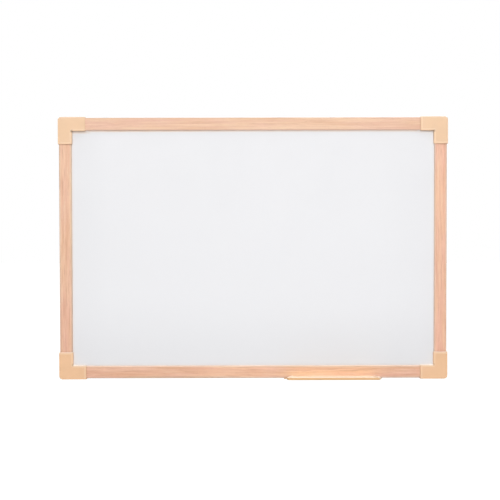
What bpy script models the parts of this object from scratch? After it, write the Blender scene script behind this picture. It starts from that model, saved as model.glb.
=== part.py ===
"""A framed wall whiteboard: a white laminate sheet on hardboard, held in the rebate of four
foil-wrapped moulded rails, with a plastic cap over each corner and a plastic pen tray screwed
under the bottom rail.

Metres, +Z up. The wall is the plane Y = 0, the board faces -Y, and the origin is on the wall,
midway between the two keyhole seats that the board hangs from.
"""

import math

import bmesh
import bpy
from mathutils import Matrix, Vector

# Fit between two pieces that touch
GAP = 0.0003

# Frame, measured over the outer faces of the rails
FRAME_WIDTH = 0.900
FRAME_HEIGHT = 0.606

# Rail section
RAIL_FACE = 0.0293
RAIL_DEPTH = 0.015
REBATE_WIDTH = 0.0093
LIP_THICKNESS = 0.004
INNER_EDGE_RADIUS = 0.003
OUTER_EDGE_RADIUS = 0.0012
BACK_EDGE_RADIUS = 0.0008

# Panel
SHEET_THICKNESS = 0.0009
BOARD_THICKNESS = 0.003
PANEL_CLEARANCE = 0.0005

# Corner caps
CAP_ARM = 0.0634
CAP_WALL = 0.0019
CAP_FACE = 0.002
CAP_LIP = 0.0011
CAP_CORNER_RADIUS = 0.008
CAP_INNER_RADIUS = 0.0015
CAP_EDGE_RADIUS = 0.0011
CAP_LIP_RADIUS = 0.002
CAP_BACK_RELIEF = 0.0005
CAP_SCREW_PLACE = 0.042

# Screws, all countersunk with a cross recess
SCREW_HEAD_RADIUS = 0.0025
SCREW_HEAD_HEIGHT = 0.0014
SCREW_SHANK_RADIUS = 0.00125
SCREW_POINT = 0.0025
CAP_SCREW_LENGTH = 0.012
HANGER_SCREW_LENGTH = 0.009
TRAY_SCREW_LENGTH = 0.012
RECESS_SPAN = 0.0026
RECESS_WIDTH = 0.0006
RECESS_DEPTH = 0.0009

# Staples across the mitres
STAPLE_CROWN = 0.010
STAPLE_LEG = 0.008
STAPLE_WIRE = 0.0010
STAPLE_SINK = 0.0001
STAPLE_PLACES = (0.0155, 0.0225)

# Retaining points behind the panel
POINT_WIDTH = 0.006
POINT_THICKNESS = 0.0005
POINT_IN_RAIL = 0.007
POINT_OVER_PANEL = 0.008
POINTS_PER_LONG_RAIL = 4
POINTS_PER_SHORT_RAIL = 2
POINT_END_DISTANCE = 0.080

# Keyhole hangers let into the back of the top rail
HANGER_LENGTH = 0.046
HANGER_HEIGHT = 0.016
HANGER_THICKNESS = 0.0015
HANGER_CORNER_RADIUS = 0.002
HANGER_END_DISTANCE = 0.130
KEYHOLE_ENTRY_RADIUS = 0.0042
KEYHOLE_SLOT_RADIUS = 0.0022
KEYHOLE_TRAVEL = 0.006
KEYHOLE_MARGIN = 0.0018
HEAD_POCKET_DEPTH = 0.0065
HEAD_POCKET_MARGIN = 0.0006
HANGER_SCREW_INSET = 0.006

# Pen tray
TRAY_END_DISTANCE = 0.2645
TRAY_REAR_WIDTH = 0.194
TRAY_FRONT_WIDTH = 0.217
TRAY_DEPTH = 0.034
TRAY_HEIGHT = 0.0063
TRAY_DROP = 0.0007
TRAY_CORNER_RADIUS = 0.006
TRAY_EDGE_RADIUS = 0.0007
TRAY_NOSE_RADIUS = 0.0024
TRAY_WALL = 0.002
TRAY_RIM = 0.0045
TRAY_TROUGH = 0.0014
TRAY_RIBS = 5
TRAY_RIB_WIDTH = 0.0015
FLANGE_WIDTH = 0.228
FLANGE_THICKNESS = 0.002
FLANGE_BACK_GAP = 0.002
FLANGE_CORNER_RADIUS = 0.003
TRAY_SCREW_INSET = 0.008

# Facets on round stretches
ARC_STEPS = 5
ROUND_STEPS = 16

# How far a cutter runs past the face that it opens
PAST = 0.004

# Heights and depths that follow from the sizes above
LAND_WIDTH = RAIL_FACE - REBATE_WIDTH
SEAT_BELOW_TOP = (LAND_WIDTH - HANGER_HEIGHT) / 2 + KEYHOLE_MARGIN + KEYHOLE_SLOT_RADIUS
TOP = SEAT_BELOW_TOP
BOTTOM = TOP - FRAME_HEIGHT
MIDDLE = (TOP + BOTTOM) / 2
TRAY_CENTRE = FRAME_WIDTH / 2 - TRAY_END_DISTANCE
RAIL_FRONT = -RAIL_DEPTH
LIP_BACK = RAIL_FRONT + LIP_THICKNESS
SHEET_FRONT = LIP_BACK + GAP
SHEET_BACK = SHEET_FRONT + SHEET_THICKNESS
BOARD_FRONT = SHEET_BACK + GAP
BOARD_BACK = BOARD_FRONT + BOARD_THICKNESS
POINT_FRONT = BOARD_BACK + GAP
CAP_OUTSET = CAP_WALL + GAP
CAP_WIDTH = CAP_OUTSET + RAIL_FACE + GAP + CAP_LIP
CAP_FRONT = RAIL_FRONT - GAP - CAP_FACE

# Turns that take a flat outline's plane and its extrusion to the part's own axes
UPRIGHT = Matrix.Rotation(math.pi / 2, 4, "X")
LENGTHWISE = Matrix(((0, 0, 1, 0), (1, 0, 0, 0), (0, 1, 0, 0), (0, 0, 0, 1)))


def clear_scene():
    for old in list(bpy.data.objects):
        bpy.data.objects.remove(old)


def new_collection(name):
    collection = bpy.data.collections.new(name)
    bpy.context.scene.collection.children.link(collection)
    return collection


def new_material(name, colour, roughness, metallic=0.0):
    material = bpy.data.materials.new(name)
    material.use_nodes = True
    shader = material.node_tree.nodes["Principled BSDF"]
    shader.inputs["Base Color"].default_value = (*colour, 1.0)
    shader.inputs["Roughness"].default_value = roughness
    shader.inputs["Metallic"].default_value = metallic
    return material


def place(name, mesh, material, location=(0, 0, 0), turn=0.0):
    """A named piece, turned about the Y axis and moved to its location."""
    piece = bpy.data.objects.new(name, mesh)
    if not mesh.materials:
        mesh.materials.append(material)
    piece.location = location
    piece.rotation_euler = (0, turn, 0)
    WHITEBOARD.objects.link(piece)
    return piece


def place_cutter(name, mesh, location=(0, 0, 0), turn=0.0):
    """A helper that cuts other pieces and is left out of the model."""
    cutter = bpy.data.objects.new(name, mesh)
    cutter.location = location
    cutter.rotation_euler = (0, turn, 0)
    cutter.hide_render = True
    cutter.display_type = "WIRE"
    CUTTERS.objects.link(cutter)
    return cutter


def combine(piece, other, operation="DIFFERENCE"):
    modifier = piece.modifiers.new(other.name, "BOOLEAN")
    modifier.operation = operation
    modifier.object = other


def applied(piece):
    """The piece's mesh with its modifiers applied. The piece itself is removed."""
    bpy.context.view_layer.update()
    evaluated = piece.evaluated_get(bpy.context.evaluated_depsgraph_get())
    mesh = bpy.data.meshes.new_from_object(evaluated)
    mesh.name = piece.name
    bpy.data.objects.remove(piece)
    return mesh


def welded(mesh):
    """Joins an extruded curve's loose caps to its sides, and makes its flat faces whole."""
    edit = bmesh.new()
    edit.from_mesh(mesh)
    bmesh.ops.remove_doubles(edit, verts=edit.verts, dist=1e-6)
    bmesh.ops.dissolve_limit(edit, angle_limit=0.001, verts=edit.verts, edges=edit.edges)
    bmesh.ops.recalc_face_normals(edit, faces=edit.faces)
    edit.to_mesh(mesh)
    edit.free()
    return mesh


def slab(name, loops, thickness, turn=Matrix.Identity(4), start=0.0):
    """A flat outline, with holes where further loops lie inside it, extruded from start."""
    curve = bpy.data.curves.new(name, "CURVE")
    curve.dimensions = "2D"
    curve.fill_mode = "BOTH"
    curve.extrude = thickness / 2
    for loop in loops:
        spline = curve.splines.new("POLY")
        spline.points.add(len(loop) - 1)
        spline.use_cyclic_u = True
        for point, (x, y) in zip(spline.points, loop):
            point.co = (x, y, 0, 1)
    guide = bpy.data.objects.new(name, curve)
    CUTTERS.objects.link(guide)
    mesh = welded(applied(guide))
    mesh.transform(turn @ Matrix.Translation((0, 0, start + thickness / 2)))
    return mesh


def block(name, low, high):
    """A box between two corners."""
    edit = bmesh.new()
    bmesh.ops.create_cube(edit, size=1)
    low, high = Vector(low), Vector(high)
    size = Matrix.Diagonal((*(high - low), 1))
    bmesh.ops.transform(edit, matrix=Matrix.Translation((low + high) / 2) @ size, verts=edit.verts)
    mesh = bpy.data.meshes.new(name)
    edit.to_mesh(mesh)
    edit.free()
    return mesh


def arc(centre, radius, start, end, steps=ARC_STEPS):
    """Points on an arc, its two ends included, with the angles in degrees."""
    angles = [math.radians(start + (end - start) * i / steps) for i in range(steps + 1)]
    return [(centre[0] + radius * math.cos(a), centre[1] + radius * math.sin(a)) for a in angles]


def rounded_rectangle(width, height, radius, centre=(0, 0)):
    x, y = width / 2 - radius, height / 2 - radius
    corners = (((x, y), 0), ((-x, y), 90), ((-x, -y), 180), ((x, -y), 270))
    points = []
    for (cx, cy), start in corners:
        points += arc((centre[0] + cx, centre[1] + cy), radius, start, start + 90)
    return points


def rounded_edges(mesh, radius_at, steps=3):
    """A mesh's creases rounded, each to the radius that radius_at(edge) gives, if any."""
    edit = bmesh.new()
    edit.from_mesh(mesh)
    radii = {e.index: radius_at(e) for e in edit.edges if e.calc_face_angle(0) > 0.3}
    largest = max(radii.values())
    weight = edit.edges.layers.float.new("bevel_weight_edge")
    for edge in edit.edges:
        edge[weight] = radii.get(edge.index, 0) / largest
    edit.to_mesh(mesh)
    edit.free()
    piece = bpy.data.objects.new(mesh.name, mesh)
    CUTTERS.objects.link(piece)
    bevel = piece.modifiers.new("rounding", "BEVEL")
    bevel.limit_method = "WEIGHT"
    bevel.width = largest
    bevel.segments = steps
    return applied(piece)


def smooth(mesh):
    mesh.shade_smooth()
    mesh.set_sharp_from_angle(angle=math.radians(35))
    return mesh


def turned(name, profile):
    """A solid turned about the Z axis from (radius, height) points that run from top to bottom."""
    mesh = bpy.data.meshes.new(name)
    points = [(radius, 0, height) for radius, height in profile]
    mesh.from_pydata(points, [(i, i + 1) for i in range(len(points) - 1)], [])
    guide = bpy.data.objects.new(name, mesh)
    CUTTERS.objects.link(guide)
    screw = guide.modifiers.new("turn", "SCREW")
    screw.axis = "Z"
    screw.steps = screw.render_steps = ROUND_STEPS
    screw.use_merge_vertices = True
    screw.merge_threshold = 1e-5
    return applied(guide)


# Rails


def rail_section():
    """The moulding's section as (Y, Z) points, with its outer edge on Z = 0."""
    inner, outer, back = INNER_EDGE_RADIUS, OUTER_EDGE_RADIUS, BACK_EDGE_RADIUS
    return [
        *arc((-back, -back), back, 90, 0, 2),
        (0, -LAND_WIDTH),
        (LIP_BACK, -LAND_WIDTH),
        (LIP_BACK, -RAIL_FACE),
        *arc((RAIL_FRONT + inner, -RAIL_FACE + inner), inner, 270, 180),
        *arc((RAIL_FRONT + outer, -outer), outer, 180, 90),
    ]


def rail_mesh(name, length):
    """A length of moulding along X with both ends mitred."""
    mesh = slab(name, [rail_section()], length, LENGTHWISE, -length / 2)
    mitre_gap = GAP / math.sqrt(2)
    for vertex in mesh.vertices:
        end = length / 2 - mitre_gap + vertex.co.z
        vertex.co.x = math.copysign(end, vertex.co.x)
    return smooth(mesh)


def make_rails():
    """The four rails, each with its outer edge turned outwards, by side."""
    half_width, quarter = FRAME_WIDTH / 2, math.pi / 2
    places = {
        "top": (FRAME_WIDTH, (0, 0, TOP), 0),
        "bottom": (FRAME_WIDTH, (0, 0, BOTTOM), math.pi),
        "left": (FRAME_HEIGHT, (-half_width, 0, MIDDLE), -quarter),
        "right": (FRAME_HEIGHT, (half_width, 0, MIDDLE), quarter),
    }
    return {
        side: place(f"{side}_rail", rail_mesh(f"{side}_rail", length), WOOD_FOIL, location, turn)
        for side, (length, location, turn) in places.items()
    }


def corners():
    """Each corner's name, its rails, its place on the rails' outer faces and its turn."""
    x, quarter = FRAME_WIDTH / 2, math.pi / 2
    yield "top_left", ("top", "left"), Vector((-x, 0, TOP)), 0
    yield "top_right", ("right", "top"), Vector((x, 0, TOP)), quarter
    yield "bottom_right", ("bottom", "right"), Vector((x, 0, BOTTOM)), math.pi
    yield "bottom_left", ("left", "bottom"), Vector((-x, 0, BOTTOM)), -quarter


def nip_mitres(rails):
    """Takes the point off each mitre where the cap over it starts to curve."""
    leg = CAP_CORNER_RADIUS - CAP_OUTSET
    reach = leg + 2 * PAST
    outline = [(-reach, reach), (leg + reach, reach), (-reach, -leg - reach)]
    for corner, sides, location, turn in corners():
        mesh = slab(f"nip_{corner}", [outline], RAIL_DEPTH + 2 * PAST, UPRIGHT, -PAST)
        cutter = place_cutter(f"nip_{corner}", mesh, location, turn)
        for side in sides:
            combine(rails[side], cutter)


# Panel


def make_panel():
    """The white writing sheet and the hardboard behind it, both in the rails' rebate."""
    inset = LAND_WIDTH + PANEL_CLEARANCE
    x = FRAME_WIDTH / 2 - inset
    low, high = BOTTOM + inset, TOP - inset
    sheet = block("writing_sheet", (-x, SHEET_FRONT, low), (x, SHEET_BACK, high))
    board = block("backing_board", (-x, BOARD_FRONT, low), (x, BOARD_BACK, high))
    place("writing_sheet", sheet, WHITE_LAMINATE)
    place("backing_board", board, HARDBOARD)


# Screws


def screw_profile(length, grow=0.0, above=0.0):
    """A countersunk screw's profile with its head's top on Z = 0 and its point down."""
    head, shank = SCREW_HEAD_RADIUS + grow, SCREW_SHANK_RADIUS + grow
    profile = [(0, above), (head, above)]
    if above:
        profile.append((head, 0))
    profile += [
        (shank, -SCREW_HEAD_HEIGHT - grow),
        (shank, -length + SCREW_POINT),
        (0, -length - grow),
    ]
    return profile


def cross_recess():
    """The two crossed slots of a screw's head, a little wider where they meet."""
    half, width = RECESS_SPAN / 2, RECESS_WIDTH / 2
    arm = [(1.3 * width, 1.3 * width), (width, half), (-width, half)]
    outline = []
    for quarter in range(4):
        c, s = math.cos(quarter * math.pi / 2), math.sin(quarter * math.pi / 2)
        outline += [(c * x - s * y, s * x + c * y) for x, y in arm]
    return slab("cross_recess", [outline], RECESS_DEPTH + PAST, start=-RECESS_DEPTH)


def screw_mesh(name, length):
    piece = bpy.data.objects.new(name, turned(name, screw_profile(length)))
    CUTTERS.objects.link(piece)
    recess = place_cutter(f"{name}_recess", cross_recess())
    combine(piece, recess)
    return smooth(applied(piece))


def screw_cutter_mesh(name, length):
    return turned(name, screw_profile(length, grow=GAP, above=PAST))


def aimed(piece, head, into):
    """Puts a screw's head at a point, with its shank running along a direction."""
    piece.location = head
    piece.rotation_mode = "QUATERNION"
    piece.rotation_quaternion = (-Vector(into)).to_track_quat("Z", "Y")
    return piece


# Corner caps


def cap_outline():
    """The L of a top left cap as (X, Z) points, its outer corner on the origin."""
    outer, inner = CAP_CORNER_RADIUS, CAP_INNER_RADIUS
    return [
        (CAP_ARM, 0),
        *arc((outer, -outer), outer, 90, 180, 2 * ARC_STEPS),
        (0, -CAP_ARM),
        (CAP_WIDTH, -CAP_ARM),
        *arc((CAP_WIDTH + inner, -CAP_WIDTH - inner), inner, 180, 90, 3),
        (CAP_ARM, -CAP_WIDTH),
    ]


def cap_cavity_outline():
    """The hollow that the two rails fill, run past the ends of both arms."""
    radius = CAP_CORNER_RADIUS - CAP_WALL
    centre = (CAP_CORNER_RADIUS, -CAP_CORNER_RADIUS)
    far, inner = CAP_ARM + PAST, CAP_WIDTH - CAP_LIP
    return [
        (far, -CAP_WALL),
        *arc(centre, radius, 90, 180, 2 * ARC_STEPS),
        (CAP_WALL, -far),
        (inner, -far),
        (inner, -inner),
        (far, -inner),
    ]


def cap_screws():
    """Head place and direction of a cap's two screws, in the top left cap's own frame."""
    depth = RAIL_FRONT / 2
    yield (CAP_SCREW_PLACE, depth, 0), (0, 0, -1)
    yield (0, depth, -CAP_SCREW_PLACE), (1, 0, 0)


def cap_mesh():
    """One moulded corner: a rounded face, two deep outer walls and a short lip inside."""
    depth = -CAP_FRONT - CAP_BACK_RELIEF
    body = slab("corner_cap", [cap_outline()], depth, UPRIGHT, CAP_BACK_RELIEF)

    def radius_at(edge):
        if any(v.co.y > CAP_FRONT + 1e-6 for v in edge.verts):
            return 0
        on_lip = all(min(v.co.x, -v.co.z) > CAP_WIDTH - 1e-6 for v in edge.verts)
        return CAP_LIP_RADIUS if on_lip else CAP_EDGE_RADIUS

    piece = bpy.data.objects.new("corner_cap", rounded_edges(body, radius_at))
    CUTTERS.objects.link(piece)
    cavity_depth = RAIL_DEPTH + GAP + PAST
    cavity = slab("cap_cavity", [cap_cavity_outline()], cavity_depth, UPRIGHT, -PAST)
    combine(piece, place_cutter("cap_cavity", cavity))
    near, far = CAP_WIDTH - CAP_LIP - GAP, CAP_ARM + PAST
    under_lip = block("cap_under_lip", (near, LIP_BACK, -far), (far, PAST, -near))
    combine(piece, place_cutter("cap_under_lip", under_lip))
    hole = screw_cutter_mesh("cap_screw_hole", CAP_SCREW_LENGTH)
    for number, (head, into) in enumerate(cap_screws()):
        cutter = aimed(place_cutter(f"cap_screw_hole_{number}", hole), head, into)
        combine(piece, cutter)
    return smooth(applied(piece))


def make_caps(rails):
    """Four caps from one mesh, each held to its two rails by two screws."""
    mesh = cap_mesh()
    screw = screw_mesh("cap_screw", CAP_SCREW_LENGTH)
    hole = screw_cutter_mesh("cap_screw_pilot", CAP_SCREW_LENGTH)
    for corner, sides, location, turn in corners():
        turning = Matrix.Rotation(turn, 4, "Y")
        origin = location + turning @ Vector((-CAP_OUTSET, 0, CAP_OUTSET))
        place(f"{corner}_cap", mesh, PLASTIC, origin, turn)
        for side, (head, into) in zip(sides, cap_screws()):
            at, along = origin + turning @ Vector(head), turning @ Vector(into)
            name = f"{corner}_cap_screw_{side}"
            aimed(place(name, screw, ZINC), at, along)
            combine(rails[side], aimed(place_cutter(f"{name}_pilot", hole), at, along))


# Staples


def staple_outline(grow=0.0, above=0.0):
    """A staple seen along its wire, with its crown's back on Y = 0 and its legs down."""
    half, wire = STAPLE_CROWN / 2 + grow, STAPLE_WIRE + 2 * grow
    foot = -STAPLE_LEG - grow
    under = -STAPLE_WIRE - grow
    return [
        (half, above),
        (-half, above),
        (-half, foot),
        (-half + wire, foot),
        (-half + wire, under),
        (half - wire, under),
        (half - wire, foot),
        (half, foot),
    ]


def make_staples(rails):
    """Pairs of staples let in flush across each mitre, from behind."""
    flat = STAPLE_WIRE / 2
    staple = slab("staple", [staple_outline()], STAPLE_WIRE, start=-flat)
    cut_width = STAPLE_WIRE + 2 * GAP
    hole = slab("staple_hole", [staple_outline(GAP, PAST)], cut_width, start=-cut_width / 2)
    for corner, sides, location, turn in corners():
        for number, along in enumerate(STAPLE_PLACES, start=1):
            name = f"{corner}_staple_{number}"
            diagonal = Matrix.Rotation(turn, 3, "Y") @ Vector((1, 0, -1)).normalized()
            at = location + diagonal * along - Vector((0, STAPLE_SINK, 0))
            across = turn - math.pi / 4
            place(name, staple, ZINC, at, across)
            cutter = place_cutter(f"{name}_hole", hole, at, across)
            for side in sides:
                combine(rails[side], cutter)


# Retaining points


def point_outline(grow=0.0, free_end=POINT_OVER_PANEL):
    """A flat steel point seen from behind, its sharp end towards +Y, the rail on Y = 0."""
    half, tip = POINT_WIDTH / 2 + grow, POINT_IN_RAIL + grow
    shoulder = tip - POINT_WIDTH / 2
    return [(half, -free_end), (half, shoulder), (0, tip), (-half, shoulder), (-half, -free_end)]


def spread(count, end_distance, length):
    """Evenly spaced places along a length, the outermost end_distance from its ends."""
    reach = length / 2 - end_distance
    return [reach * (2 * i / (count - 1) - 1) for i in range(count)]


def make_points(rails):
    """Flat points driven into the rebate's wall that keep the panel in."""
    point = slab("point", [point_outline()], POINT_THICKNESS, UPRIGHT)
    slot_depth = POINT_THICKNESS + 2 * GAP
    slot = slab("point_slot", [point_outline(GAP)], slot_depth, UPRIGHT, -GAP)
    counts = dict.fromkeys(("top", "bottom"), (POINTS_PER_LONG_RAIL, FRAME_WIDTH))
    counts |= dict.fromkeys(("left", "right"), (POINTS_PER_SHORT_RAIL, FRAME_HEIGHT))
    for side, (count, length) in counts.items():
        rail = rails[side]
        turn = rail.rotation_euler.y
        for number, along in enumerate(spread(count, POINT_END_DISTANCE, length), start=1):
            offset = Vector((along, POINT_FRONT + POINT_THICKNESS, -LAND_WIDTH))
            at = rail.location + Matrix.Rotation(turn, 3, "Y") @ offset
            name = f"{side}_panel_point_{number}"
            place(name, point, ZINC, at, turn)
            combine(rail, place_cutter(f"{name}_slot", slot, at, turn))


# Hangers


def keyhole(entry, slot, steps=ROUND_STEPS):
    """A round entry with a narrower slot above it, whose upper end is centred on the origin."""
    neck = math.degrees(math.asin(slot / entry))
    return [
        *arc((0, 0), slot, 0, 180, steps // 2),
        *arc((0, -KEYHOLE_TRAVEL), entry, 90 + neck, 450 - neck, steps),
    ]


def hanger_mesh(screws):
    """A flat steel hanger with its keyhole and two countersunk holes."""
    centre = (0, KEYHOLE_SLOT_RADIUS + KEYHOLE_MARGIN - HANGER_HEIGHT / 2)
    outline = rounded_rectangle(HANGER_LENGTH, HANGER_HEIGHT, HANGER_CORNER_RADIUS, centre)
    loops = [outline, keyhole(KEYHOLE_ENTRY_RADIUS, KEYHOLE_SLOT_RADIUS)]
    piece = bpy.data.objects.new("hanger", slab("hanger", loops, HANGER_THICKNESS, UPRIGHT))
    CUTTERS.objects.link(piece)
    hole = screw_cutter_mesh("hanger_screw_hole", HANGER_SCREW_LENGTH)
    for number, x in enumerate(screws):
        cutter = place_cutter(f"hanger_screw_hole_{number}", hole)
        combine(piece, aimed(cutter, (x, 0, centre[1]), (0, -1, 0)))
    return smooth(applied(piece)), centre[1]


def make_hangers(rail):
    """Two keyhole hangers let in flush with the back of the top rail."""
    reach = HANGER_LENGTH / 2 - HANGER_SCREW_INSET
    mesh, middle = hanger_mesh((-reach, reach))
    grown = (HANGER_LENGTH + 2 * GAP, HANGER_HEIGHT + 2 * GAP, HANGER_CORNER_RADIUS + GAP)
    recess_outline = rounded_rectangle(*grown, centre=(0, middle))
    recess = slab("recess", [recess_outline], HANGER_THICKNESS + GAP + PAST, UPRIGHT, -PAST)
    pocket_half = KEYHOLE_ENTRY_RADIUS + HEAD_POCKET_MARGIN
    pocket_height = KEYHOLE_TRAVEL + 2 * pocket_half
    pocket_outline = rounded_rectangle(
        2 * pocket_half, pocket_height, pocket_half, (0, -KEYHOLE_TRAVEL / 2)
    )
    pocket = slab("head_pocket", [pocket_outline], HEAD_POCKET_DEPTH, UPRIGHT)
    screw = screw_mesh("hanger_screw", HANGER_SCREW_LENGTH)
    pilot = screw_cutter_mesh("hanger_screw_pilot", HANGER_SCREW_LENGTH)
    seat = FRAME_WIDTH / 2 - HANGER_END_DISTANCE
    for side, x in (("left", -seat), ("right", seat)):
        place(f"{side}_hanger", mesh, ZINC, (x, 0, 0))
        combine(rail, place_cutter(f"{side}_hanger_recess", recess, (x, 0, 0)))
        combine(rail, place_cutter(f"{side}_head_pocket", pocket, (x, 0, 0)))
        for number, offset in enumerate((-reach, reach), start=1):
            name = f"{side}_hanger_screw_{number}"
            at, into = (x + offset, 0, middle), (0, -1, 0)
            aimed(place(name, screw, ZINC), at, into)
            combine(rail, aimed(place_cutter(f"{name}_pilot", pilot), at, into))


# Pen tray


def tray_outline(inset=0.0):
    """The shelf's plan as (X, Y) points: wider at its front, with rounded front corners."""
    rear = TRAY_REAR_WIDTH / 2 - inset
    front = TRAY_FRONT_WIDTH / 2 - inset
    back = RAIL_FRONT - GAP - inset
    nose = RAIL_FRONT - GAP - TRAY_DEPTH + inset
    radius = max(TRAY_CORNER_RADIUS - inset, TRAY_EDGE_RADIUS)
    return [
        (rear, back),
        (-rear, back),
        *arc((-front + radius, nose + radius), radius, 180, 270),
        *arc((front - radius, nose + radius), radius, 270, 360),
    ]


def tray_shelf(base):
    """The shelf, crisp above and well rounded below, with a shallow trough and ribbed bays."""
    body = slab("tray_shelf", [tray_outline()], TRAY_HEIGHT, start=base)
    back = RAIL_FRONT - GAP - 1e-6
    top = base + TRAY_HEIGHT

    def radius_at(edge):
        heights = {round(v.co.z - base, 6) for v in edge.verts}
        if len(heights) > 1 or all(v.co.y > back for v in edge.verts):
            return 0
        return TRAY_EDGE_RADIUS if heights.pop() else TRAY_NOSE_RADIUS

    shelf = bpy.data.objects.new("tray_shelf", rounded_edges(body, radius_at, steps=4))
    CUTTERS.objects.link(shelf)
    trough = slab("tray_trough", [tray_outline(TRAY_RIM)], TRAY_TROUGH + PAST, start=top - TRAY_TROUGH)
    combine(shelf, place_cutter("tray_trough", trough))
    bay_height = TRAY_HEIGHT - TRAY_TROUGH - TRAY_WALL + PAST
    bay_outline = tray_outline(TRAY_WALL + TRAY_NOSE_RADIUS)
    bays = slab("tray_bays", [bay_outline], bay_height, start=base - PAST)
    hollow = place_cutter("tray_bays", bays)
    for number, x in enumerate(spread(TRAY_RIBS, TRAY_REAR_WIDTH / (TRAY_RIBS + 1), TRAY_REAR_WIDTH)):
        low = (x - TRAY_RIB_WIDTH / 2, RAIL_FRONT - TRAY_DEPTH - PAST, base - 2 * PAST)
        high = (x + TRAY_RIB_WIDTH / 2, RAIL_FRONT + PAST, top)
        combine(hollow, place_cutter(f"tray_rib_{number}", block("tray_rib", low, high)))
    combine(shelf, hollow)
    return applied(shelf)


def make_tray(rail):
    """The pen tray: its shelf in front of the bottom rail, its flange screwed up under it."""
    base = BOTTOM - TRAY_DROP
    mesh = tray_shelf(base)
    tray = place("pen_tray", mesh, PLASTIC, (TRAY_CENTRE, 0, 0))
    root = (RAIL_FRONT - GAP - TRAY_WALL, RAIL_FRONT - GAP)
    flange_top = BOTTOM - GAP
    flange_low = flange_top - FLANGE_THICKNESS
    half = TRAY_REAR_WIDTH / 2
    web = block("tray_web", (-half, root[0], flange_low), (half, root[1], base + TRAY_WALL))
    depth = -FLANGE_BACK_GAP - root[0]
    plan = rounded_rectangle(
        FLANGE_WIDTH, depth, FLANGE_CORNER_RADIUS, (0, root[0] + depth / 2)
    )
    flange = slab("tray_flange", [plan], FLANGE_THICKNESS, start=flange_low)
    for name, piece in (("tray_web", web), ("tray_flange", flange)):
        combine(tray, place_cutter(name, piece, (TRAY_CENTRE, 0, 0)), "UNION")
    screw = screw_mesh("tray_screw", TRAY_SCREW_LENGTH)
    hole = screw_cutter_mesh("tray_screw_hole", TRAY_SCREW_LENGTH)
    reach = FLANGE_WIDTH / 2 - TRAY_SCREW_INSET
    for number, x in enumerate((-reach, 0, reach), start=1):
        name = f"tray_screw_{number}"
        at, into = (TRAY_CENTRE + x, RAIL_FRONT / 2, flange_low), (0, 0, 1)
        aimed(place(name, screw, ZINC), at, into)
        cutter = aimed(place_cutter(f"{name}_hole", hole), at, into)
        combine(tray, cutter)
        combine(rail, cutter)
    mesh.shade_flat()


clear_scene()
WHITEBOARD = new_collection("whiteboard")
CUTTERS = new_collection("cutters")
WOOD_FOIL = new_material("wood_foil", (0.86, 0.56, 0.40), 0.5)
PLASTIC = new_material("cream_plastic", (0.88, 0.62, 0.40), 0.35)
WHITE_LAMINATE = new_material("white_laminate", (0.86, 0.86, 0.87), 0.15)
HARDBOARD = new_material("hardboard", (0.22, 0.12, 0.06), 0.8)
ZINC = new_material("zinc_plated_steel", (0.62, 0.62, 0.64), 0.35, 1.0)

RAILS = make_rails()
nip_mitres(RAILS)
make_panel()
make_caps(RAILS)
make_staples(RAILS)
make_points(RAILS)
make_hangers(RAILS["top"])
make_tray(RAILS["bottom"])
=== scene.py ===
import math

import bpy
from mathutils import Matrix, Vector

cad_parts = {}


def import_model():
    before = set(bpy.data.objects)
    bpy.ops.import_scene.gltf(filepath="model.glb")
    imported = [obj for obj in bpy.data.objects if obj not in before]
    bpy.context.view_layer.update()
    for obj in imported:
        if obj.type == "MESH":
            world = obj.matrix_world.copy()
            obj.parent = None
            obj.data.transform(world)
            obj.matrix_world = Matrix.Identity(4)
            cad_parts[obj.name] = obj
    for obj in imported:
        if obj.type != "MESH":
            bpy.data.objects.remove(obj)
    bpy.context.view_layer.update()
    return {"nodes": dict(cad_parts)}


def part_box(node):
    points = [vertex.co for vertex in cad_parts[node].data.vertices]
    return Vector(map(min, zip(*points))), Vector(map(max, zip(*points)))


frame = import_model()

NODES = frame["nodes"]

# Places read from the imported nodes, in metres: the board faces -Y and is even about X = 0
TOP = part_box("top_rail")[1].z
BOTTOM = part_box("bottom_rail")[0].z
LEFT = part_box("left_rail")[0].x
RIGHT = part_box("right_rail")[1].x
INNER_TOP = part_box("top_rail")[0].z
INNER_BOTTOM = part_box("bottom_rail")[1].z
INNER_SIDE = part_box("right_rail")[0].x
MIDDLE = (TOP + BOTTOM) / 2
INNER_HALF = (INNER_TOP - INNER_BOTTOM) / 2
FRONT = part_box("top_left_cap")[0].y
CAP_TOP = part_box("top_left_cap")[1].z
SHEET_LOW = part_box("writing_sheet")[0].z
SHEET_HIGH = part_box("writing_sheet")[1].z
TRAY_START, TRAY_END = [corner.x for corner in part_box("pen_tray")]

# Where the caps' arms end, along the long rails and along the short ones
TOP_LEFT_CAP, BOTTOM_RIGHT_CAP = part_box("top_left_cap"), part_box("bottom_right_cap")
LONG_ENDS = TOP_LEFT_CAP[1].x, BOTTOM_RIGHT_CAP[0].x
SHORT_ENDS = BOTTOM_RIGHT_CAP[1].z, TOP_LEFT_CAP[0].z

# The back of the rails' front lip, and a cap's lip inside the rail with its gap
LIP_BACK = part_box("writing_sheet")[0].y - 0.0004
CAP_LIP = 0.0014
# Outside this, a wall that looks sideways is the frame's own outer face
OUTSIDE = RIGHT - 0.01

# Wood foil: its pale and dark rings in two tints, its streaks and pores
PINK_RINGS = (0.857, 0.491, 0.348), (0.945, 0.599, 0.436)
AMBER_RINGS = (0.853, 0.500, 0.322), (0.945, 0.616, 0.414)
DARK_STREAK = (0.690, 0.370, 0.245)
PALE_STREAK = (0.955, 0.690, 0.500)
PORE = (0.62, 0.34, 0.22)
FIBREBOARD = (0.40, 0.27, 0.165), (0.52, 0.37, 0.235)
# Where the foil ends at the back, counted from the rail's outer face
FOIL_END = (0.0044, 0.0046)
# The grain's noises, in bumps to the metre along the rail, across it and into it
WANDER = (2.6, 22, 22)
RINGS = (6, 190, 110)
STREAKS = (20, 330, 300)
FINE_GRAIN = (45, 1900, 1200)
PORES = (70, 2600, 1500)
TINTS = (9, 60, 30)
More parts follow.
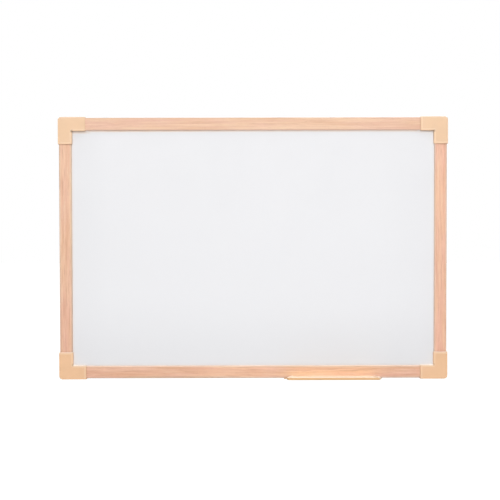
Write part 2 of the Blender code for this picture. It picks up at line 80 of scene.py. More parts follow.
# How far the rings wander across the rail
WANDER_WIDTH = 0.016
# Steps between the noises of one seed and the next, and between noises of one material
FOIL_STEP = (1.37, 0.61, 0.23)
PLASTIC_STEP = (0.71, 0.37, 0.19)
PORES_APART = (3.1, 0, 0)
TINTS_APART = (7.7, 0, 0)

# Plastic, sheet, hardboard and steel
CAP_PLASTIC = (0.922, 0.612, 0.384)
# The tray's cream is set darker and more saturated than the caps': painted shade for its front face
TRAY_PLASTIC = (0.830, 0.510, 0.260)
FLOW_MARK = (0.90, 0.60, 0.42)
LAMINATE = (0.889, 0.890, 0.911), (0.903, 0.903, 0.921)
HARDBOARD = (0.200, 0.110, 0.058), (0.275, 0.160, 0.088)
PALE_FIBRE = (0.42, 0.27, 0.16)
DARK_FIBRE = (0.10, 0.052, 0.028)
WEAVE_PITCH = 0.0016
ZINC = (0.60, 0.61, 0.63), (0.74, 0.74, 0.73)
DULL_ZINC = (0.50, 0.49, 0.47)

# Colours of painted highlights and painted shade, which a colour turns to
FOIL_EDGE_LIGHT = (1.0, 0.70, 0.56)
CAP_RIM_HIGHLIGHT = (1.0, 0.76, 0.57)
TRAY_END_LIGHT = (1.0, 0.86, 0.72)
UPPER_RIM_LIGHT = (1.0, 0.88, 0.78)
WALL_SHADE = (0.30, 0.20, 0.15)
CORNER_SHADOW = (0.26, 0.16, 0.10)
SHEET_SHADOW = (0.80, 0.66, 0.56)

# Tints that a colour is multiplied by: painted light bounced from the tray, dust, and a darker lower
# edge
TRAY_BOUNCE = (1.080, 1.150, 0.990)
DUSTY_EDGE = (0.93, 1.04, 1.09)
LOWER_EDGE_TINT = (0.90, 0.96, 0.97)
# Painted light on foil and caps: their tint near the bottom and further up, and where the change lies
SHADING_HEIGHTS = (BOTTOM + 0.07, BOTTOM + 0.32)
FOIL_HEIGHT_SHADING = (0.940, 0.905, 0.915), (0.955, 0.965, 0.985)
CAP_HEIGHT_SHADING = (0.972, 0.924, 0.878), (0.913, 0.935, 0.950)

# How much painted shade lies on walls that look left and on those that look right, and its share
# outside
RECESS_SHADE = (0.19, 0.25)
TRAY_SIDE_SHADE = (0.26, 0.04)
WALL_SHADE_OUTSIDE = 0.3
# How far a wall's normal leans sideways where the painted shade starts to show, and where it shows in
# full
WALL_LEAN = (0.05, 0.75)

# Bands along an edge of dust, dark lines, painted light and shade: how far from it they are full and
# end
ARRIS_BAND = (0.0003, 0.0030)
CAP_END_BAND = (0.0008, 0.0042)
DUSTY_BAND = (0.0020, 0.0055)
LOWER_EDGE_BAND = (0.0030, 0.0060)
EDGE_LIGHT_BAND = (0.0012, 0.0030)
UPPER_RIM_LIGHT_BAND = (0, 0.0042)
CAP_RIM_HIGHLIGHT_BAND = (0.0040, 0.0058)
BARE_RIM_BAND = (0.0010, 0.0022)
CORNER_BAND = (0.0008, 0.0044)
SHEET_TOP_BAND = (0.0012, 0.0062)
SHEET_BAND = (0.0012, 0.0052)
SHEET_LINE_BAND = (0.0026, 0.0044)
SHEET_CORNER_BAND = (0.0050, 0.0088)
# How far painted light may reach past the edge it follows
PAST_EDGE = 0.001

# Stretches of the bottom rail that are rubbed paler and darkest along its outer edge: their middle,
# and how far from it they are full and end
RUBBED_MIDDLE = TRAY_START - 0.11
RUBBED_REACH = (0.05, 0.14)
LOWER_EDGE_MIDDLE = -0.17
LOWER_EDGE_REACH = (0.10, 0.16)

# Dust and painted top light: the most there is, its colour, how far up a face looks where it starts
# and where it is full, and how much of it lies behind the front, past a stretch where it thins out
DUST_AND_LIGHT_THINS = (FRONT + 0.0035, FRONT + 0.0075)
FOIL_DUST_AND_LIGHT = {"most": 0.34, "pale": (0.92, 0.78, 0.68), "start": 0.1, "full": 0.95, "behind": 0.15}
CAP_DUST_AND_LIGHT = {"most": 0.95, "pale": (0.91, 0.80, 0.69), "start": 0.04, "full": 0.65, "behind": 0.15}
TRAY_DUST_AND_LIGHT = {"most": 1.0, "pale": (0.97, 0.88, 0.78), "start": 0.55, "full": 0.95, "behind": 1.0}

# Each rail's outer face, the two places along it where a fine dark line runs against the caps, its
# grain, its tone, how dark the painted shade on its outer arris is, and the colour of the painted
# shade on its inner wall
RAILS = {
    "top": {
        "outer": TOP,
        "ends": (LONG_ENDS[0] - 0.005, LONG_ENDS[1]),
        "seed": 1,
        "contrast": 0.6,
        "tone": (0.955, 0.990, 1.000),
        "arris": 0.86,
        "shade_colour": WALL_SHADE,
    },
    "bottom": {
        "outer": BOTTOM,
        "ends": LONG_ENDS,
        "seed": 2,
        "contrast": 1.1,
        "tone": (1, 1, 1),
        "arris": 0.76,
        "shade_colour": WALL_SHADE,
    },
    "left": {
        "outer": LEFT,
        "ends": SHORT_ENDS,
        "seed": 3,
        "contrast": 1.2,
        "tone": (1, 1, 1),
        "arris": 0.86,
        "shade_colour": (0.30, 0.26, 0.24),
    },
    "right": {
        "outer": RIGHT,
        "ends": SHORT_ENDS,
        "seed": 4,
        "contrast": 1.2,
        "tone": (1.025, 0.985, 0.985),
        "arris": 0.86,
        "shade_colour": (0.30, 0.48, 0.48),
    },
}

# How far sharp edges are rounded, and which edges count as sharp
CAP_ROUNDING = 0.00025
TRAY_ROUNDING = 0.0003
ROUNDED_ANGLE = math.radians(50)
# Edges sharper than this stay creases where the shading is smooth
CREASE_ANGLE = math.radians(32)
WELD_DISTANCE = 1e-6

# The floor, far below the board, and the light all round
FLOOR_HEIGHT = -1.45
FLOOR_SIZE = 60
FLOOR_COLOUR = (0.70, 0.70, 0.70, 1)
# What the floor shows the camera on top of its own light, at two distances from its middle
FLOOR_GLOW = (0.6, 0.12), (2.3, 0.90)
AMBIENT = 0.30

# Each lamp: where it is, what it looks at, its width and height, and its power in watts
LAMPS = {
    "key": ((0.12, -3.0, 1.4), (0, 0, -0.3), (2.8, 2.0), 74),
    "top": ((0.1, -0.1, 2.4), (0.05, -0.1, -0.3), (3.0, 1.0), 56.5),
    "back": ((-0.7, 2.7, 0.9), (0, 0, -0.3), (2.6, 2.0), 42),
    "left": ((-2.4, 0.5, 0.3), (0, 0, -0.3), (1.6, 1.2), 14),
    "right": ((2.4, 0.5, 0.3), (0, 0, -0.3), (1.6, 1.2), 14),
}

# The photograph's view: from 2.6 m, a little above the board's middle
CAMERA_PLACE = (-0.0108, -2.5970, -0.2367)
CAMERA_YAW = math.radians(0.0774)
CAMERA_PITCH = math.radians(1.4330)
CAMERA_ROLL = math.radians(-0.115)
LENS = 80
SENSOR_WIDTH = 36


# Node graphs

# Where most of a noise's values lie
NOISE_RANGE = (0.3, 0.7)


class Graph:
    """A material's node tree, with a short call for each kind of node used here."""

    def __init__(self, name):
        self.material = bpy.data.materials.new(name)
        self.material.use_nodes = True
        self.tree = self.material.node_tree
        self.shader = self.tree.nodes["Principled BSDF"]

    def link(self, source, target):
        """Joins a node's output to an input, or sets the input to a plain value."""
        if isinstance(source, bpy.types.NodeSocket):
            self.tree.links.new(source, target)
        else:
            target.default_value = source

    def node(self, kind, **settings):
        made = self.tree.nodes.new(kind)
        for key, value in settings.items():
            setattr(made, key, value)
        return made

    def place(self):
        """Where a point lies, in metres."""
        return self.node("ShaderNodeTexCoord").outputs["Object"]

    def normal(self):
        return self.node("ShaderNodeNewGeometry").outputs["Normal"]

    def split(self, vector):
        made = self.node("ShaderNodeSeparateXYZ")
        self.link(vector, made.inputs[0])
        return made.outputs

    def join(self, x, y, z):
        made = self.node("ShaderNodeCombineXYZ")
        for value, socket in zip((x, y, z), made.inputs):
            self.link(value, socket)
        return made.outputs[0]

    def mapped(self, vector, scale=(1, 1, 1), offset=(0, 0, 0), turn=(0, 0, 0)):
        made = self.node("ShaderNodeMapping")
        self.link(vector, made.inputs["Vector"])
        made.inputs["Location"].default_value = offset
        made.inputs["Rotation"].default_value = turn
        made.inputs["Scale"].default_value = scale
        return made.outputs[0]

    def math(self, operation, *values, clamp=False):
        made = self.node("ShaderNodeMath", operation=operation, use_clamp=clamp)
        for value, socket in zip(values, made.inputs):
            self.link(value, socket)
        return made.outputs[0]

    def plus(self, a, b):
        return self.math("ADD", a, b)

    def minus(self, a, b):
        return self.math("SUBTRACT", a, b)

    def times(self, a, b):
        return self.math("MULTIPLY", a, b)

    def least(self, a, b):
        return self.math("MINIMUM", a, b)

    def most(self, a, b):
        return self.math("MAXIMUM", a, b)

    def more(self, a, b):
        """1 where a is more than b, and 0 elsewhere."""
        return self.math("GREATER_THAN", a, b)

    def less(self, a, b):
        """1 where a is less than b, and 0 elsewhere."""
        return self.math("LESS_THAN", a, b)

    def size(self, value):
        """A value without its sign."""
        return self.math("ABSOLUTE", value)

    def length(self, a, b):
        """The long side of a right triangle with sides a and b."""
        return self.math("SQRT", self.plus(self.math("POWER", a, 2), self.math("POWER", b, 2)))

    def remap(self, value, low, high, to_low=0.0, to_high=1.0, smooth=False):
        """A value between two limits, carried over to two others, and held at them outside."""
        made = self.node("ShaderNodeMapRange")
        made.interpolation_type = "SMOOTHSTEP" if smooth else "LINEAR"
        for source, socket in zip((value, low, high, to_low, to_high), made.inputs):
            self.link(source, socket)
        return made.outputs[0]

    def vary(self, noise, low, high):
        """A value that follows a noise over the range where most of it lies."""
        return self.remap(noise, *NOISE_RANGE, low, high)

    def near(self, distance, band, most=1):
        """The most there is close to an edge, falling to nothing across a band of distances."""
        return self.remap(distance, *band, most, 0, smooth=True)

    def noise(self, vector, scale, detail, roughness, distortion=0.0):
        """Smooth noise between 0 and 1, with about that many bumps to the metre."""
        made = self.node("ShaderNodeTexNoise")
        self.link(vector, made.inputs["Vector"])
        made.inputs["Scale"].default_value = scale
        made.inputs["Detail"].default_value = detail
        made.inputs["Roughness"].default_value = roughness
        made.inputs["Distortion"].default_value = distortion
        return made.outputs["Fac"]

    def wobble(self, noise, width):
        """Noise as a shift to either side, that wide in all."""
        return self.times(self.minus(noise, 0.5), width)

    def mix(self, amount, a, b, blend="MIX"):
        made = self.node("ShaderNodeMix", data_type="RGBA", blend_type=blend)
        self.link(amount, made.inputs["Factor"])
        for value, name in ((a, "A"), (b, "B")):
            socket = next(s for s in made.inputs if s.name == name and s.type == "RGBA")
            self.link((*value, 1) if isinstance(value, tuple) else value, socket)
        return next(s for s in made.outputs if s.type == "RGBA")

    def tinted(self, amount, colour, tint):
        """A colour multiplied by a tint, to that amount."""
        return self.mix(amount, colour, self.mix(1.0, colour, tint, "MULTIPLY"))

    def scaled(self, colour, amount):
        """A colour times a grey value."""
        grey = self.node("ShaderNodeCombineColor")
        for socket in grey.inputs[:3]:
            self.link(amount, socket)
        return self.mix(1.0, colour, grey.outputs[0], "MULTIPLY")

    def bump(self, height, distance, strength):
        made = self.node("ShaderNodeBump")
        made.inputs["Strength"].default_value = strength
        made.inputs["Distance"].default_value = distance
        self.link(height, made.inputs["Height"])
        return made.outputs[0]

    def finish(self, colour, roughness, normal=None, **values):
        self.link(colour, self.shader.inputs["Base Color"])
        self.link(roughness, self.shader.inputs["Roughness"])
        if normal is not None:
            self.link(normal, self.shader.inputs["Normal"])
        for name, value in values.items():
            self.shader.inputs[name.replace("_", " ")].default_value = value
        return self.material


# Dust, painted light and painted shade


def dust_and_top_light(g, colour, place, most, pale, start, full, behind):
    """A colour with a thin pale film of dust and painted top light where a face looks upwards."""
    up = g.remap(g.split(g.normal())[2], start, full, 0, most, smooth=True)
    film_and_light = g.remap(g.noise(place, 55, 4, 0.65), 0.25, 0.65, 0.7, 1.1)
    depth = g.split(g.place())[1]
    film_and_light = g.times(film_and_light, g.remap(depth, *DUST_AND_LIGHT_THINS, 1.0, behind))
    return g.mix(g.math("MULTIPLY", up, film_and_light, clamp=True), colour, pale)


def painted_wall_shade(g, colour, leftward, rightward, shade_colour):
    """A colour with painted shade on walls that look to either side: outside the frame only a trace.
    """
    side = g.split(g.normal())[0]
    slight, full = WALL_LEAN
    left = g.remap(side, -slight, -full, 0, leftward, smooth=True)
    right = g.remap(side, slight, full, 0, rightward, smooth=True)
    outside = g.more(g.size(g.split(g.place())[0]), OUTSIDE)
    amount = g.times(g.plus(left, right), g.remap(outside, 0, 1, 1.0, WALL_SHADE_OUTSIDE))
    return g.mix(amount, colour, shade_colour)


def painted_height_shading(g, colour, low, high):
    """A colour with painted light by height: tinted one way near the bottom and another further up.
    """
    z = g.split(g.place())[2]
    rise = g.remap(z, *SHADING_HEIGHTS, smooth=True)
    return g.mix(1.0, colour, g.mix(rise, low, high), "MULTIPLY")


def painted_rim_highlight(g, colour, level, most, half_width=1.0):
    """A colour with a painted highlight towards an edge that looks up, at one height."""
    x, _, z = g.split(g.place())
    below = g.minus(level, z)
    near = g.times(g.more(below, -PAST_EDGE), g.remap(below, *UPPER_RIM_LIGHT_BAND, 1, 0))
    near = g.times(near, g.less(g.size(x), half_width))
    return g.mix(g.times(near, most), colour, UPPER_RIM_LIGHT)


# Wood foil on fibreboard


def fibreboard(g, place):
    """Bare fibreboard: a brown felt of fine fibres, with its bump height."""
    felt = g.noise(place, 900, 4, 0.7)
    clumps = g.noise(place, 140, 3, 0.6)
    base = g.mix(clumps, *FIBREBOARD)
    return g.scaled(base, g.vary(felt, 0.82, 1.1)), felt


def painted_tray_bounce(g, colour, run, across):
    """A colour warmed behind the tray by painted light bounced from it, least along the rail's two
    edges.
    """
    rise = g.remap(run, TRAY_START - 0.03, TRAY_START + 0.03, smooth=True)
    fall = g.remap(run, TRAY_END + 0.02, TRAY_END - 0.06, smooth=True)
    head = g.remap(across, BOTTOM + 0.029, BOTTOM + 0.014, 0.05, 1.0)
    foot = g.remap(across, BOTTOM + 0.004, BOTTOM + 0.013, 0.40, 1.0)
    return g.tinted(g.times(g.times(rise, fall), g.times(head, foot)), colour, TRAY_BOUNCE)


def rubbed_stretch(g, colour, run):
    """A colour rubbed paler left of the tray, where pens are taken up."""
    away = g.size(g.minus(RUBBED_MIDDLE, run))
    return g.scaled(colour, g.remap(away, *RUBBED_REACH, 1.07, 1.0, smooth=True))


def printed_grain(g, side, run, across, depth, seed, contrast):
    """The foil's print: rings that wander slowly across the rail, with streaks and pores."""
    grain = g.mapped(g.join(run, across, depth), offset=[seed * step for step in FOIL_STEP])
    wander = g.noise(g.mapped(grain, WANDER), 1, 2, 0.5)
    along, aside, inwards = g.split(grain)
    bent = g.join(along, g.plus(aside, g.wobble(wander, WANDER_WIDTH)), inwards)
    rings = g.noise(g.mapped(bent, RINGS), 1, 3, 0.55)
    streaks = g.noise(g.mapped(bent, STREAKS), 1, 3, 0.6)
    fine = g.noise(g.mapped(bent, FINE_GRAIN), 1, 2, 0.6)
    pores = g.noise(g.mapped(bent, PORES, PORES_APART), 1, 1, 0.5)
    tint = g.noise(g.mapped(grain, TINTS, TINTS_APART), 1, 2, 0.5)

    pink = g.mix(g.remap(rings, 0.36, 0.64), *PINK_RINGS)
    amber = g.mix(g.remap(rings, 0.36, 0.64), *AMBER_RINGS)
    colour = g.mix(g.remap(tint, 0.38, 0.62), pink, amber)
    # Painted warm light, bounced up from the tray onto the bottom rail
    if side == "bottom":
        colour = painted_tray_bounce(g, colour, run, across)
    colour = g.mix(g.remap(streaks, 0.52, 0.72, 0, 0.60 * contrast), colour, DARK_STREAK)
    colour = g.mix(g.remap(streaks, 0.44, 0.28, 0, 0.55 * contrast), colour, PALE_STREAK)
    if side == "bottom":
        colour = rubbed_stretch(g, colour, run)
    colour = g.scaled(colour, g.vary(fine, 0.945, 1.040))
    pore = g.remap(pores, 0.62, 0.72)
    colour = g.mix(g.times(pore, 0.5), colour, PORE)
    return colour, fine, pore


def dusty_edges(g, colour, edge, inner):
    """A colour greyed by dust along a rail's outer and inner edges."""
    return g.tinted(g.near(g.least(edge, g.size(inner)), DUSTY_BAND, 0.8), colour, DUSTY_EDGE)


def darker_lower_edge(g, colour, x, edge):
    """The bottom rail's colour, darker and greyer along its outer edge, most left of the tray."""
    away = g.size(g.minus(x, LOWER_EDGE_MIDDLE))
    most = g.remap(away, *LOWER_EDGE_REACH, 0.9, 0.1, smooth=True)
    return g.tinted(g.times(g.near(edge, LOWER_EDGE_BAND), most), colour, LOWER_EDGE_TINT)


def painted_lower_edge_light(g, colour, z):
    """A rail's colour, made paler by painted light level with the top rail's lower edge."""
    above = g.minus(z, INNER_TOP)
    portion = g.times(g.near(above, EDGE_LIGHT_BAND, 0.70), g.more(above, -PAST_EDGE))
    return g.mix(portion, colour, FOIL_EDGE_LIGHT)


def wood_foil(side, outer, ends, seed, contrast, tone, arris, shade_colour):
    """Printed wood grain along a rail, and bare fibreboard where the foil ends behind."""
    g = Graph(f"foil_{side}")
    place = g.place()
    x, y, z = g.split(place)
    run, across = (x, z) if side in ("top", "bottom") else (z, x)
    edge = g.size(g.minus(across, outer))
    colour, fine, pore = printed_grain(g, side, run, across, y, seed, contrast)

    # A fine dark line where each cap ends, and painted shade on the outer arris
    clear = g.least(g.minus(run, ends[0]), g.minus(ends[1], run))
    colour = g.scaled(colour, g.remap(clear, *CAP_END_BAND, 0.91, 1.0, smooth=True))
    colour = g.scaled(colour, g.remap(edge, *ARRIS_BAND, arris, 1.0, smooth=True))
    # Painted light by height: the foil tinted one way near the bottom and another further up
    low, high = [tuple(a * b for a, b in zip(tone, markings)) for markings in FOIL_HEIGHT_SHADING]
    colour = painted_height_shading(g, colour, low, high)
    if side == "bottom":
        colour = dusty_edges(g, colour, edge, g.minus(z, INNER_BOTTOM))
        colour = darker_lower_edge(g, colour, x, edge)
    elif side != "top":
        colour = dusty_edges(g, colour, edge, g.minus(g.size(x), INNER_SIDE))
    # Painted shade on walls that look sideways
    colour = painted_wall_shade(g, colour, *RECESS_SHADE, shade_colour)
    # A painted highlight along the bottom rail's upper inner edge
    colour = painted_rim_highlight(g, colour, INNER_BOTTOM, 0.14)
    # Painted light, paler, on the rail level with the top rail's lower inner edge
    colour = painted_lower_edge_light(g, colour, z)
    # Dust and painted top light on faces that look up
    colour = dust_and_top_light(g, colour, place, **FOIL_DUST_AND_LIGHT)

    board, felt = fibreboard(g, place)
    ragged = g.wobble(g.noise(place, 60, 3, 0.6), 0.0012)
    inside = g.remap(g.plus(edge, ragged), *FOIL_END)
    bare = g.times(inside, g.more(y, LIP_BACK))
    colour = g.mix(bare, colour, board)

    rough = g.plus(g.vary(fine, 0.42, 0.54), g.times(bare, 0.35))
    height = g.minus(g.times(fine, 0.4), g.times(pore, 0.8))
    height = g.plus(height, g.times(g.times(felt, bare), 3.0))
    return g.finish(colour, rough, g.bump(height, 0.00006, 0.7), Specular_IOR_Level=0.42)


# Moulded plastic


def rim_distance(g):
    """How far a point on a cap's front is from the cap's inner edge or the end of its arm."""
    x, _, z = g.split(g.place())
    z = g.minus(z, MIDDLE)
    # The long end of the top left cap takes no painted highlight, so it counts as further off
    spare = g.times(g.less(x, 0), g.more(z, 0))
    x, z = g.size(x), g.size(z)
    over_x = g.most(g.minus(x, INNER_SIDE - CAP_LIP), 0)
    over_z = g.most(g.minus(z, INNER_HALF - CAP_LIP), 0)
    end_x = g.plus(g.minus(x, LONG_ENDS[1]), g.times(spare, 0.01))
    end_z = g.minus(z, MIDDLE - SHORT_ENDS[0])
    return g.least(g.length(over_x, over_z), g.least(end_x, end_z))


def painted_corner_shadow(g, colour, place):
    """A colour with painted shadow at the caps' inner corners, most at the top left."""
    x, _, z = g.split(g.place())
    z = g.minus(z, MIDDLE)
    most = g.times(g.remap(z, -0.1, 0.1, 0.36, 0.70), g.remap(x, -0.1, 0.1, 1.0, 0.72))
    aside = g.minus(g.size(x), INNER_SIDE - 0.0006)
    beyond = g.minus(g.size(z), INNER_HALF - 0.0020)
    ragged = g.wobble(g.noise(place, 420, 4, 0.7), 0.0045)
    near = g.near(g.plus(g.length(aside, beyond), ragged), CORNER_BAND)
    return g.mix(g.times(near, most), colour, CORNER_SHADOW)


def cap_dust_and_shading(g, colour, place):
    """A cap's colour, with painted light by height, painted highlights on its rims, painted shade and
    dust.
    """
    # Painted light by height
    colour = painted_height_shading(g, colour, *CAP_HEIGHT_SHADING)
    distance = rim_distance(g)
    # The painted highlight's band starts a little inside the very edge
    sheen = g.near(distance, CAP_RIM_HIGHLIGHT_BAND, 0.30)
    sheen = g.times(sheen, g.remap(distance, *BARE_RIM_BAND, smooth=True))
    colour = g.mix(sheen, colour, CAP_RIM_HIGHLIGHT)
    # Painted highlights on edges that look up
    colour = painted_rim_highlight(g, colour, CAP_TOP, 0.30)
    colour = painted_rim_highlight(g, colour, INNER_BOTTOM + CAP_LIP, 0.55, INNER_SIDE - CAP_LIP)
    colour = painted_rim_highlight(g, colour, SHORT_ENDS[0], 0.30)
    # Painted shadow at the inner corners
    colour = painted_corner_shadow(g, colour, place)
    # Painted shade on walls that look sideways
    colour = painted_wall_shade(g, colour, *RECESS_SHADE, WALL_SHADE)
    # Dust and painted top light on faces that look up
    return dust_and_top_light(g, colour, place, **CAP_DUST_AND_LIGHT)


def tray_dust_and_shading(g, colour, place):
    """The tray's colour: a painted highlight at its right end, painted side shade, dust and painted
    top light.
    """
    # A painted highlight on faces that look right
    right = g.remap(g.split(g.normal())[0], 0.10, 0.60, 0, 0.5, smooth=True)
    colour = g.mix(right, colour, TRAY_END_LIGHT)
    # Painted shade on walls that look sideways, most on the left flank
    colour = painted_wall_shade(g, colour, *TRAY_SIDE_SHADE, WALL_SHADE)
    # Dust and painted top light on faces that look up
    return dust_and_top_light(g, colour, place, **TRAY_DUST_AND_LIGHT)


def moulded_plastic(name, colour, seed, markings):
    """Smooth cream plastic with a fine mould texture, faint flow marks and rubbed patches."""
    g = Graph(name)
    place = g.mapped(g.place(), offset=[seed * step for step in PLASTIC_STEP])
    flow = g.noise(g.mapped(place, (35, 35, 35)), 1, 3, 0.55, 0.6)
    specks = g.noise(place, 1400, 2, 0.6)
    spark = g.noise(place, 2600, 3, 0.6)
    sheen = g.noise(place, 90, 5, 0.65, 0.4)
    scratch = g.noise(g.mapped(place, (90, 900, 1600), turn=(0.2, 0.5, 0.3)), 1, 2, 0.5)
    tone = g.times(g.vary(flow, 0.972, 1.022), g.vary(specks, 0.985, 1.012))
    shade = g.scaled(colour, tone)
    shade = g.mix(g.remap(flow, 0.55, 0.8, 0, 0.25), shade, FLOW_MARK)
    # The markings add dust and painted light and shade
    shade = markings(g, shade, place)
    rough = g.minus(g.vary(sheen, 0.30, 0.44), g.remap(scratch, 0.70, 0.78, 0, 0.08))
    relief = g.minus(spark, g.remap(scratch, 0.70, 0.78, 0, 0.8))
    return g.finish(shade, rough, g.bump(relief, 0.00003, 0.55), Specular_IOR_Level=0.5)


# The writing sheet


def painted_sheet_shade(g, place):
    """Painted shade greying the sheet: most at its top, some at its bottom and sides, least below its
    middle.
    """
    x, _, z = g.split(place)
    above = g.remap(z, SHEET_LOW + 0.18, SHEET_HIGH, 0, 0.074)
    below = g.remap(z, SHEET_LOW + 0.16, SHEET_LOW, 0, 0.046, smooth=True)
    below = g.times(below, g.remap(x, 0.02, 0.13, 1.0, 1.45, smooth=True))
    left = g.remap(x, -0.34, -0.43, 0, 0.026)
    right = g.remap(x, 0.30, 0.42, 0, 0.018)
    greying = g.plus(g.plus(above, below), g.plus(left, right))
    return g.times(greying, g.vary(g.noise(place, 5, 3, 0.6), 0.85, 1.15))


def painted_sheet_shadow(g, place):
    """How dark the painted brown shadow lies on the sheet close to the frame."""
    x, _, z = g.split(place)
    beside = g.minus(INNER_SIDE, g.size(x))
    beneath, over = g.minus(INNER_TOP, z), g.minus(z, INNER_BOTTOM)
    shadow_depth = g.near(beneath, SHEET_TOP_BAND, 0.42)
    flank = g.times(g.near(beside, SHEET_BAND), g.remap(x, -0.1, 0.1, 0.16, 0.08))
    shadow_depth = g.most(shadow_depth, flank)
    shadow_depth = g.most(shadow_depth, g.near(over, SHEET_BAND, 0.12))

    # Painted shadow: a darker line under the top rail, between the caps, and a patch under each cap
    between = g.remap(g.size(x), 0.380, 0.388, 1, 0)
    between = g.times(between, g.remap(x, -0.22, -0.10, 0.94, 0.72))
    shadow_depth = g.most(shadow_depth, g.times(between, g.near(beneath, SHEET_LINE_BAND)))
    for side, most in ((-1, 0.72), (1, 0.30)):
        corner = g.remap(g.times(x, side), 0.372, 0.390, 0, most, smooth=True)
        shadow_depth = g.most(shadow_depth, g.times(corner, g.near(beneath, SHEET_CORNER_BAND)))
    return g.times(shadow_depth, g.vary(g.noise(place, 30, 4, 0.7), 0.75, 1.15))


def white_laminate():
    """Gloss laminate: near white, a trace of wiping in its gloss, a very slight waviness."""
    g = Graph("white_laminate_face")
    place = g.place()
    cloud = g.noise(place, 3.2, 4, 0.6, 0.5)
    wipes = g.noise(g.mapped(place, (9, 40, 60), turn=(0, 0.35, 0)), 1, 4, 0.6, 0.8)
    dust = g.noise(place, 700, 2, 0.6)
    peel = g.noise(place, 160, 2, 0.5)
    sway = g.noise(place, 7, 2, 0.5)
    colour = g.mix(cloud, *LAMINATE)
    colour = g.scaled(colour, g.vary(dust, 0.995, 1.003))
    # Painted shade greys the sheet towards its top, its bottom and its sides
    colour = g.scaled(colour, g.minus(1.0, painted_sheet_shade(g, place)))
    # Painted brown shadow on the sheet along the frame
    colour = g.mix(painted_sheet_shadow(g, place), colour, SHEET_SHADOW)
    rough = g.remap(wipes, 0.3, 0.75, 0.13, 0.24)
    height = g.plus(g.times(peel, 0.010), g.times(sway, 0.35))
    return g.finish(colour, rough, g.bump(height, 0.0006, 0.5), Specular_IOR_Level=0.5)


# The back and the fixings


def hardboard():
    """The rough side of hardboard: dark brown, flecked with lighter and darker fibres."""
    g = Graph("hardboard_back")
    place = g.place()
    felt = g.noise(place, 620, 5, 0.75)
    flecks = g.noise(g.mapped(place, (420, 420, 90), turn=(0, 0.7, 0)), 1, 3, 0.7, 1.5)
    flecks_too = g.noise(g.mapped(place, (90, 420, 420), turn=(0, 0.3, 0)), 1, 3, 0.7, 1.5)
    patches = g.noise(place, 6, 4, 0.6)
    colour = g.mix(patches, *HARDBOARD)
    colour = g.mix(g.remap(flecks, 0.58, 0.75, 0, 0.55), colour, PALE_FIBRE)
    colour = g.mix(g.remap(flecks_too, 0.60, 0.78, 0, 0.6), colour, DARK_FIBRE)
    colour = g.scaled(colour, g.vary(felt, 0.80, 1.16))

    # The press screen's weave, faint and worn away in patches
    x, _, z = g.split(place)
    wires = [g.math("SINE", g.times(axis, 2 * math.pi / WEAVE_PITCH)) for axis in (x, z)]
    portion = g.remap(g.noise(place, 18, 4, 0.6), 0.35, 0.65, 0.35, 1.0)
    weave = g.times(g.times(*wires), portion)
    colour = g.scaled(colour, g.remap(weave, -1, 1, 0.93, 1.06))
    rough = g.vary(felt, 0.62, 0.80)
    height = g.plus(felt, g.times(weave, 0.5))
    return g.finish(colour, rough, g.bump(height, 0.00012, 0.6), Specular_IOR_Level=0.35)


def zinc():
    """Zinc-plated steel: pale grey with rolled lines, soft spangle and dull spots."""
    g = Graph("zinc_plate")
    place = g.place()
    lines = g.noise(g.mapped(place, (40, 1600, 1600)), 1, 3, 0.6)
    spangle = g.noise(place, 420, 3, 0.6, 0.5)
    dull = g.noise(place, 95, 4, 0.65)
    colour = g.mix(spangle, *ZINC)
    colour = g.mix(g.remap(dull, 0.52, 0.72, 0, 0.5), colour, DULL_ZINC)
    rough = g.plus(g.vary(lines, 0.24, 0.36), g.remap(dull, 0.5, 0.75, 0, 0.2))
    return g.finish(colour, rough, g.bump(lines, 0.00003, 0.5), Metallic=1.0)


def dress():
    """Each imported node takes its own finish."""
    finishes = {f"{side}_rail": wood_foil(side, **look) for side, look in RAILS.items()}
    cap = moulded_plastic("cream_plastic_cap", CAP_PLASTIC, 1, cap_dust_and_shading)
    finishes["pen_tray"] = moulded_plastic("cream_plastic_tray", TRAY_PLASTIC, 2, tray_dust_and_shading)
    finishes["writing_sheet"] = white_laminate()
    finishes["backing_board"] = hardboard()
    steel = zinc()
    for name, node in NODES.items():
        material = cap if name.endswith("_cap") else finishes.get(name, steel)
        node.data.materials.clear()
        node.data.materials.append(material)


# Smooth shading and rounded edges


def smooth_group():
    """Shades a faceted mesh smooth, except across creases."""
    group = bpy.data.node_groups.new("smooth_shading", "GeometryNodeTree")
    group.interface.new_socket("Geometry", in_out="INPUT", socket_type="NodeSocketGeometry")
    group.interface.new_socket("Geometry", in_out="OUTPUT", socket_type="NodeSocketGeometry")
    new = group.nodes.new
    start, end = new("NodeGroupInput"), new("NodeGroupOutput")
    weld = new("GeometryNodeMergeByDistance")
    faces, creases = new("GeometryNodeSetShadeSmooth"), new("GeometryNodeSetShadeSmooth")
    angle, sharp = new("GeometryNodeInputMeshEdgeAngle"), new("FunctionNodeCompare")
    weld.inputs["Distance"].default_value = WELD_DISTANCE
    creases.domain = "EDGE"
    creases.inputs["Shade Smooth"].default_value = False
    sharp.operation = "GREATER_THAN"
    sharp.inputs[1].default_value = CREASE_ANGLE
    link = group.links.new
    link(start.outputs[0], weld.inputs[0])
    link(weld.outputs[0], faces.inputs[0])
    link(faces.outputs[0], creases.inputs[0])
    link(angle.outputs["Unsigned Angle"], sharp.inputs[0])
    link(sharp.outputs[0], creases.inputs["Selection"])
    link(creases.outputs[0], end.inputs[0])
    return group


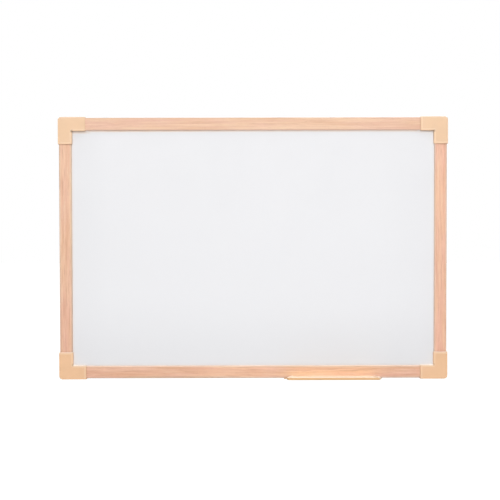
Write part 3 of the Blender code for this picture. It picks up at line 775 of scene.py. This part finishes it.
def soften(node, width, smooth):
    """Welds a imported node's facets and, where a width is given, rounds its sharp edges."""
    weld = node.modifiers.new("weld", "WELD")
    weld.merge_threshold = WELD_DISTANCE
    if width:
        bevel = node.modifiers.new("soft_edges", "BEVEL")
        bevel.width = width
        bevel.segments = 2
        bevel.limit_method = "ANGLE"
        bevel.angle_limit = ROUNDED_ANGLE
        bevel.harden_normals = False
    shading = node.modifiers.new("smooth", "NODES")
    shading.node_group = smooth
    flats = node.modifiers.new("flat_faces", "WEIGHTED_NORMAL")
    flats.keep_sharp = True
    flats.weight = 100


def rounding(name):
    """How far a node's sharp edges are rounded: only moulded plastic has this."""
    if name.endswith("_cap"):
        return CAP_ROUNDING
    return TRAY_ROUNDING if name == "pen_tray" else 0


def soften_all():
    """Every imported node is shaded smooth, after its rounding."""
    smooth = smooth_group()
    for name, node in NODES.items():
        soften(node, rounding(name), smooth)


# Floor, lamps, surroundings and camera


def stage():
    """A plain pale floor well below the board, white to the camera but for its shadow."""
    bpy.ops.mesh.primitive_plane_add(size=FLOOR_SIZE, location=(0, 0, FLOOR_HEIGHT))
    floor = bpy.context.object
    floor.name = "floor"
    g = Graph("floor_white")
    seen = g.node("ShaderNodeLightPath").outputs["Is Camera Ray"]
    glow = g.node("ShaderNodeEmission")
    distance = g.node("ShaderNodeVectorMath", operation="LENGTH")
    g.link(g.place(), distance.inputs[0])
    near, far = FLOOR_GLOW
    paler = g.remap(distance.outputs["Value"], near[0], far[0], near[1], far[1], smooth=True)
    g.link(g.times(seen, paler), glow.inputs["Strength"])
    both = g.node("ShaderNodeAddShader")
    g.finish(FLOOR_COLOUR, 0.9, Specular_IOR_Level=0.0)
    g.link(g.shader.outputs[0], both.inputs[0])
    g.link(glow.outputs[0], both.inputs[1])
    g.link(both.outputs[0], g.tree.nodes["Material Output"].inputs["Surface"])
    floor.data.materials.append(g.material)


def area_light(name, location, target, size, power):
    """A soft rectangular lamp that looks at a point."""
    light = bpy.data.lights.new(name, "AREA")
    light.shape = "RECTANGLE"
    light.size, light.size_y = size
    light.energy = power
    lamp = bpy.data.objects.new(name, light)
    lamp.location = location
    lamp.rotation_mode = "QUATERNION"
    lamp.rotation_quaternion = (Vector(target) - Vector(location)).to_track_quat("-Z", "Y")
    bpy.context.scene.collection.objects.link(lamp)


def world():
    """Even white surroundings: plain white to the eye and in gloss, dimmer as light."""
    made = bpy.data.worlds.new("studio")
    bpy.context.scene.world = made
    made.use_nodes = True
    tree = made.node_tree
    background = tree.nodes["Background"]
    path = tree.nodes.new("ShaderNodeLightPath")
    seen = tree.nodes.new("ShaderNodeMath")
    seen.operation = "MAXIMUM"
    tree.links.new(path.outputs["Is Camera Ray"], seen.inputs[0])
    tree.links.new(path.outputs["Is Glossy Ray"], seen.inputs[1])
    strength = tree.nodes.new("ShaderNodeMapRange")
    strength.inputs["To Min"].default_value = AMBIENT
    strength.inputs["To Max"].default_value = 1.0
    tree.links.new(seen.outputs[0], strength.inputs["Value"])
    tree.links.new(strength.outputs[0], background.inputs["Strength"])
    background.inputs["Color"].default_value = (1, 1, 1, 1)


def camera():
    """The camera, at the photograph's place and angle."""
    data = bpy.data.cameras.new("camera")
    data.lens = LENS
    data.sensor_width = SENSOR_WIDTH
    eye = bpy.data.objects.new("camera", data)
    turn = Matrix.Rotation(-CAMERA_YAW, 3, "Z") @ Matrix.Rotation(math.pi / 2 - CAMERA_PITCH, 3, "X")
    eye.rotation_euler = (turn @ Matrix.Rotation(CAMERA_ROLL, 3, "Z")).to_euler()
    eye.location = CAMERA_PLACE
    bpy.context.scene.collection.objects.link(eye)
    bpy.context.scene.camera = eye


camera()
world()
stage()
for lamp_name, lamp_values in LAMPS.items():
    area_light(lamp_name, *lamp_values)
dress()
soften_all()

bpy.context.view_layer.update()
bpy.context.scene.view_settings.view_transform = "Standard"
